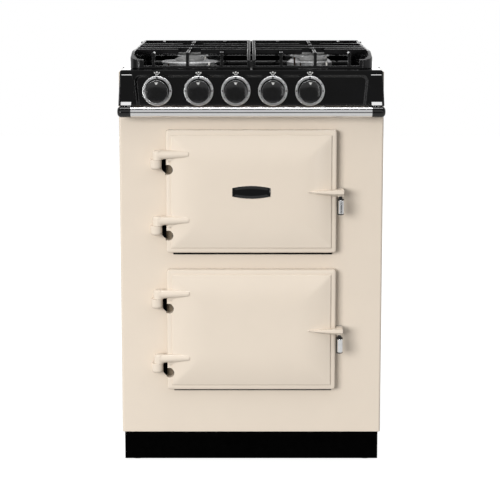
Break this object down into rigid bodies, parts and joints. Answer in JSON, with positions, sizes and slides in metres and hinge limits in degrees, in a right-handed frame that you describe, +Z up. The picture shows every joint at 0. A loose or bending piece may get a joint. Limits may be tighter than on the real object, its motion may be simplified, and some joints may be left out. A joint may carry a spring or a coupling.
{
  "type": "dual fuel range cooker",
  "caption": "Free-standing range cooker with a gas hob under cast pan supports, side-hung domed oven doors, round push-and-turn knobs and a handrail.",
  "frame": {"origin": "on the floor, under the middle of the whole cooker's box", "axes": "+Z up, -Y out of the front towards the cook, +X to the cook's right"},
  "size_m": [0.597, 0.6545, 0.961],
  "materials": {
    "cream_enamel": "glossy vitreous enamel over cast iron",
    "black_enamel": "glossy black vitreous enamel",
    "black_steel": "satin black paint over steel",
    "zinc_steel": "zinc-coated steel sheet",
    "polished_steel": "brushed and polished stainless steel",
    "chrome": "bright chrome plate",
    "oven_enamel": "speckled grey vitreous enamel",
    "mineral_wool": "pressed mineral wool",
    "element_steel": "heat-darkened steel sheath",
    "brass": "turned brass",
    "burner_alloy": "cast aluminium",
    "cap_enamel": "dark grey enamel over steel",
    "igniter_ceramic": "glazed white ceramic",
    "sensor_copper": "copper tube",
    "black_plastic": "moulded black phenolic plastic",
    "seal_rope": "woven glass-fibre rope",
    "cast_iron": "black enamelled cast iron"
  },
  "bodies": {
    "cabinet": {"base_frame": "black_steel", "levelling_feet": "black_steel", "plinth": "black_steel", "front_plate": "cream_enamel", "left_side_panel": "cream_enamel", "right_side_panel": "cream_enamel", "rear_panel": "zinc_steel", "rear_upstand": "black_enamel", "hob_top": "black_enamel", "control_fascia": "black_enamel", "handrail_tube": "polished_steel", "handrail_brackets": "black_enamel", "upper_oven_liner": "oven_enamel", "lower_oven_liner": "oven_enamel", "upper_insulation": "mineral_wool", "lower_insulation": "mineral_wool", "upper_oven_elements": "element_steel", "lower_oven_element": "element_steel", "upper_oven_shelves": "polished_steel", "lower_oven_shelf": "polished_steel", "oven_thermostat": "zinc_steel", "hinge_bosses": "cream_enamel", "hinge_pins": "polished_steel", "catch_keepers": "polished_steel", "knob_bezels": "chrome", "gas_manifold": "zinc_steel", "gas_taps": "brass", "burner_feed_pipes": "burner_alloy", "burner_cups": "burner_alloy", "burner_heads": "burner_alloy", "burner_caps": "cap_enamel", "burner_igniters": "igniter_ceramic", "flame_sensors": "sensor_copper", "gas_inlet": "brass", "terminal_box": "zinc_steel", "cable_gland": "black_plastic", "rear_panel_screws": "zinc_steel"},
    "upper_door": {"upper_door_casting": "cream_enamel", "upper_door_pan": "zinc_steel", "upper_door_insulation": "mineral_wool", "upper_door_seal": "seal_rope", "upper_door_handle": "chrome", "badge_plate": "black_enamel"},
    "lower_door": {"lower_door_casting": "cream_enamel", "lower_door_pan": "zinc_steel", "lower_door_insulation": "mineral_wool", "lower_door_seal": "seal_rope", "lower_door_handle": "chrome"},
    "left_support": {"left_pan_support": "cast_iron"},
    "right_support": {"right_pan_support": "cast_iron"},
    "oven_control": {"oven_knob": "black_plastic"},
    "plunger_1": {"tap_plunger_1": "brass"},
    "gas_control_1": {"gas_knob_1": "black_plastic"},
    "plunger_2": {"tap_plunger_2": "brass"},
    "gas_control_2": {"gas_knob_2": "black_plastic"},
    "plunger_3": {"tap_plunger_3": "brass"},
    "gas_control_3": {"gas_knob_3": "black_plastic"},
    "plunger_4": {"tap_plunger_4": "brass"},
    "gas_control_4": {"gas_knob_4": "black_plastic"}
  },
  "joints": [
    {"name": "upper_door_hinge", "type": "hinge", "parent": "cabinet", "child": "upper_door", "pos_m": [-0.211, -0.29475, 0.65], "axis": [0, 0, -1], "range_deg": [0, 120]},
    {"name": "lower_door_hinge", "type": "hinge", "parent": "cabinet", "child": "lower_door", "pos_m": [-0.211, -0.29475, 0.331], "axis": [0, 0, -1], "range_deg": [0, 120]},
    {"name": "left_support_lift", "type": "slide", "parent": "cabinet", "child": "left_support", "axis": [0, 0, 1], "range_m": [0, 0.08]},
    {"name": "right_support_lift", "type": "slide", "parent": "cabinet", "child": "right_support", "axis": [0, 0, 1], "range_m": [0, 0.08]},
    {"name": "oven_knob_turn", "type": "hinge", "parent": "cabinet", "child": "oven_control", "pos_m": [-0.211, -0.30275, 0.8775], "axis": [0, 1, 0], "range_deg": [0, 290]},
    {"name": "gas_knob_1_press", "type": "slide", "parent": "cabinet", "child": "plunger_1", "axis": [0, 1, 0], "range_m": [0, 0.003], "stiffness_N_per_m": 1500, "springref_m": -0.002},
    {"name": "gas_knob_1_turn", "type": "hinge", "parent": "plunger_1", "child": "gas_control_1", "pos_m": [-0.118, -0.30275, 0.8775], "axis": [0, -1, 0], "range_deg": [0, 210]},
    {"name": "gas_knob_2_press", "type": "slide", "parent": "cabinet", "child": "plunger_2", "axis": [0, 1, 0], "range_m": [0, 0.003], "stiffness_N_per_m": 1500, "springref_m": -0.002},
    {"name": "gas_knob_2_turn", "type": "hinge", "parent": "plunger_2", "child": "gas_control_2", "pos_m": [-0.035, -0.30275, 0.8775], "axis": [0, -1, 0], "range_deg": [0, 210]},
    {"name": "gas_knob_3_press", "type": "slide", "parent": "cabinet", "child": "plunger_3", "axis": [0, 1, 0], "range_m": [0, 0.003], "stiffness_N_per_m": 1500, "springref_m": -0.002},
    {"name": "gas_knob_3_turn", "type": "hinge", "parent": "plunger_3", "child": "gas_control_3", "pos_m": [0.048, -0.30275, 0.8775], "axis": [0, -1, 0], "range_deg": [0, 210]},
    {"name": "gas_knob_4_press", "type": "slide", "parent": "cabinet", "child": "plunger_4", "axis": [0, 1, 0], "range_m": [0, 0.003], "stiffness_N_per_m": 1500, "springref_m": -0.002},
    {"name": "gas_knob_4_turn", "type": "hinge", "parent": "plunger_4", "child": "gas_control_4", "pos_m": [0.131, -0.30275, 0.8775], "axis": [0, -1, 0], "range_deg": [0, 210]}
  ]
}
